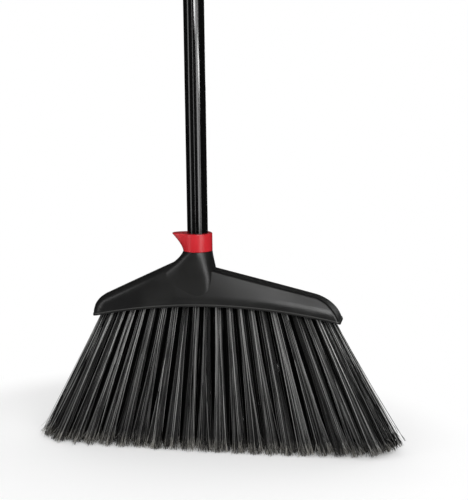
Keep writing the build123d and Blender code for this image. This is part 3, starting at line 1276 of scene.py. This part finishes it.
@dataclass
class Studio:
    """White floor and surroundings, soft lamps, and the camera.

    Attributes:
        lamps: The lamps.
        fill: Brightness of the even light from all round.
        gloom: Brightness of the dark room that gloss shows.
        backdrop_edge: Share of +Y in a direction over which gloss comes to show the white backdrop.
        backdrop_top: Share of +Z in a direction over which that backdrop ends.
        floor_size: Length of the floor's sides.
        paper: Grey of the floor.
        paper_roughness: Roughness of the floor.
        paper_lift: Glow that lifts the floor towards white.
        shadow_centre: Middle of the part of the floor that keeps the shadow.
        shadow_reach: Distances from there over which the floor turns plain white.
        focal: Focal length of the camera in pixels of an image of 468 by 500.
        image_height: Height of that image in pixels.
        sensor: Size of the camera's sensor in millimetres.
        near_clip: Nearest distance that the camera sees.
        stand: Place of the camera from the floor below the handle, before the yaw.
        yaw: Turn of the camera about the handle, in degrees.
        pitch: Its look down, in degrees.
        roll: Its turn about its own line of sight, in degrees.
    """

    lamps: tuple[Softbox, ...] = (
        Softbox("key_lamp", turn=36.0, height=0.56, distance=1.25, width=0.42, tall=1.1, glow=4.4),
        Softbox("key_edge", turn=55.0, height=0.51, distance=1.25, width=0.14, tall=1.0, glow=4.0),
        Softbox(
            "front_strip",
            turn=-8.0,
            height=0.56,
            distance=1.4,
            width=0.1,
            tall=1.1,
            glow=3.4,
            gloss_on=TUBES,
        ),
        Softbox("front_box", turn=14.0, height=1.12, distance=1.4, width=0.55, tall=0.95, glow=6.0),
        Softbox("left_lamp", turn=-58.0, height=0.51, distance=1.25, width=0.3, tall=1.0, glow=2.4),
        Softbox(
            "gloss_bar",
            turn=36.0,
            height=0.4,
            distance=1.25,
            width=1.2,
            tall=0.07,
            glow=18.0,
            tilt=-8.8,
            gloss_on=TUBES,
        ),
        Softbox(
            "back_lamp",
            turn=191.0,
            height=0.6,
            distance=1.25,
            width=0.36,
            tall=1.1,
            glow=3.0,
            gloss_on=(*TUBES, "coupling_sleeve", "end_grip"),
        ),
    )
    fill: float = 0.6
    gloom: float = 0.012
    backdrop_edge: Pair = (0.9, 0.97)
    backdrop_top: Pair = (0.1, 0.04)
    floor_size: float = 24.0
    paper: float = 0.9
    paper_roughness: float = 0.8
    paper_lift: float = 0.15
    shadow_centre: Triple = (-0.055, -0.04, 0.0)
    shadow_reach: Pair = (0.23, 0.32)
    focal: float = 1155.6
    image_height: float = 500.0
    sensor: float = 36.0
    near_clip: float = 0.05
    stand: Triple = (0.0332, -1.0481, 0.3681)
    yaw: float = 11.28
    pitch: float = 9.86
    roll: float = -0.68

    def build(self) -> None:
        """Set up the floor, the surroundings, the lamps and the camera."""
        self.lay_floor()
        self.set_world()
        for lamp in self.lamps:
            lamp.build()
        self.place_camera()
        bpy.context.scene.view_settings.view_transform = "Standard"

    def lay_floor(self) -> None:
        """Lay a white floor that keeps the broom's shadow, with plain white further out."""
        deselect()
        bpy.ops.mesh.primitive_plane_add(size=self.floor_size, location=(0, 0, 0))
        floor = bpy.context.object
        floor.name = "floor"
        recipe = Recipe("floor_paper")
        rays = recipe.node("ShaderNodeLightPath")
        shown = recipe.any_ray(rays, "Camera", "Transmission", "Glossy")
        recipe.set(Base_Color=(self.paper, self.paper, self.paper, 1), Roughness=self.paper_roughness)
        recipe.set(Specular_IOR_Level=0.0, Emission_Color=(1, 1, 1, 1))
        recipe.feed("Emission Strength", recipe.calculate("MULTIPLY", shown, self.paper_lift))
        distance = recipe.node("ShaderNodeVectorMath", operation="DISTANCE")
        distance.inputs[1].default_value = self.shadow_centre
        recipe.link(recipe.place(), distance.inputs[0])
        past_shadow = recipe.ramp(distance.outputs["Value"], self.shadow_reach)
        not_gloss = recipe.calculate("SUBTRACT", 1.0, rays.outputs["Is Glossy Ray"])
        white = recipe.node("ShaderNodeEmission", Color=(1, 1, 1, 1))
        recipe.link(recipe.calculate("MAXIMUM", not_gloss, self.gloom), white.inputs["Strength"])
        mixed = recipe.node("ShaderNodeMixShader")
        recipe.link(recipe.calculate("MULTIPLY", past_shadow, shown), mixed.inputs[0])
        recipe.link(recipe.shader.outputs[0], mixed.inputs[1])
        recipe.link(white.outputs[0], mixed.inputs[2])
        recipe.link(mixed.outputs[0], recipe.tree.nodes["Material Output"].inputs["Surface"])
        floor.data.materials.append(recipe.material)

    def set_world(self) -> None:
        """Set white surroundings with an even fill, where gloss shows a backdrop behind and a dark room."""
        world = bpy.data.worlds.new("studio")
        world.use_nodes = True
        bpy.context.scene.world = world
        graph = NodeGraph(world.node_tree)
        rays = graph.node("ShaderNodeLightPath")
        # On the world, Generated is the direction in which a ray leaves the scene.
        _, y, z = graph.axes(graph.node("ShaderNodeTexCoord").outputs["Generated"])
        behind = graph.ramp(y, self.backdrop_edge)
        low = graph.ramp(z, self.backdrop_top)
        room = graph.calculate("MAXIMUM", graph.calculate("MULTIPLY", behind, low), self.gloom)
        lit = graph.node("ShaderNodeMix", A=self.fill)
        graph.link(rays.outputs["Is Glossy Ray"], lit.inputs["Factor"])
        graph.link(room, lit.inputs["B"])
        seen = graph.any_ray(rays, "Camera", "Transmission")
        background = world.node_tree.nodes["Background"]
        background.inputs["Color"].default_value = (1, 1, 1, 1)
        graph.link(graph.calculate("MAXIMUM", lit.outputs[0], seen), background.inputs["Strength"])

    def place_camera(self) -> None:
        """Stand the camera where the photograph was taken."""
        lens = bpy.data.cameras.new("camera")
        lens.sensor_width = self.sensor
        lens.lens = self.focal * self.sensor / self.image_height
        lens.clip_start = self.near_clip
        camera = bpy.data.objects.new("camera", lens)
        bpy.context.scene.collection.objects.link(camera)
        camera.matrix_world = (
            Matrix.Translation((HANDLE_X, 0, 0))
            @ Matrix.Rotation(math.radians(self.yaw), 4, "Z")
            @ Matrix.Translation(self.stand)
            @ Matrix.Rotation(math.radians(90 - self.pitch), 4, "X")
            @ Matrix.Rotation(math.radians(self.roll), 4, "Z")
        )
        bpy.context.scene.camera = camera


def main() -> None:
    """Build and dress the broom, then the studio round it."""
    logging.basicConfig(level=logging.INFO, format="%(name)s: %(message)s")
    for assembly in (BroomHead(), BristleField(), LockCollar(), Handle(), HandleScrew(), Studio()):
        assembly.build()


if __name__ == "__main__":
    main()
